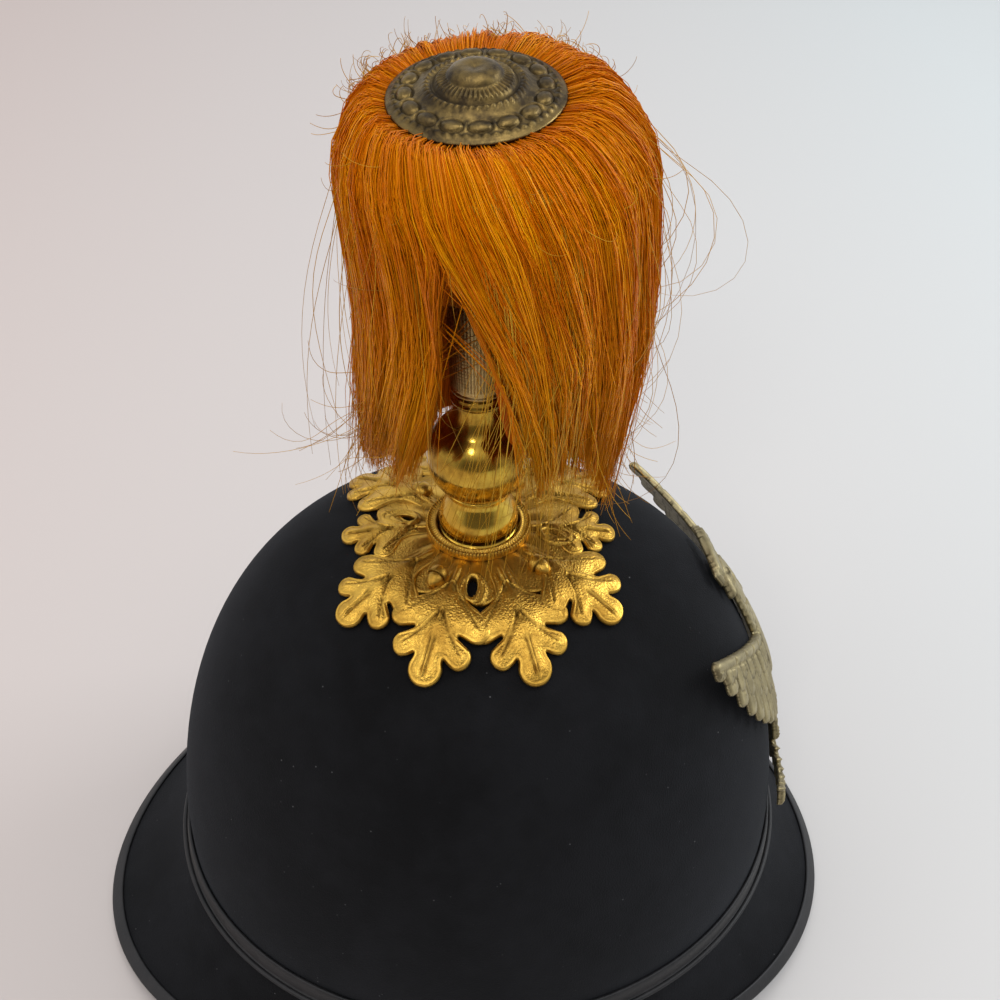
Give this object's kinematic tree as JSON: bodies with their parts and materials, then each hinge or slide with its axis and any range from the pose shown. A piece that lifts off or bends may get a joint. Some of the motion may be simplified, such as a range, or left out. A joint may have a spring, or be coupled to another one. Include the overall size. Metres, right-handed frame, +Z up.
{
  "type": "cavalry helmet",
  "caption": "Black felt cavalry dress helmet with a bound brim, an oak-leaf base, a brass spike, a hanging horsehair plume under a rosette and an eagle plate at the front.",
  "frame": {"origin": "middle of the footprint, on the plane that the brim stands on", "axes": "+Z up along the spike, -Y towards the front of the helmet, -X towards the wearer's right"},
  "size_m": [0.2134, 0.2882, 0.3383],
  "materials": {
    "black_felt": "napped black wool felt",
    "black_leather": "smooth black leather, dull sheen",
    "gilt_brass": "stamped gilt brass, matt stippled ground with rubbed edges",
    "polished_brass": "polished and lacquered, lightly spotted",
    "tarnished_brass": "stamped brass, browned in the hollows",
    "dull_brass": "stamped brass, dull grey-brown tarnish",
    "dyed_horsehair": "long orange-yellow horsehair with a soft gloss",
    "steel": "plain grey steel"
  },
  "bodies": {
    "root": {"felt_shell": "black_felt", "brim_binding": "black_leather", "crown_band": "black_leather", "leaf_base": "gilt_brass", "milled_ring": "gilt_brass", "base_cup": "polished_brass", "ball_stem": "polished_brass", "plume_socket": "polished_brass", "plume": "dyed_horsehair", "plume_rosette": "tarnished_brass", "front_plate": "dull_brass", "spike_bolt": "steel"}
  },
  "joints": []
}
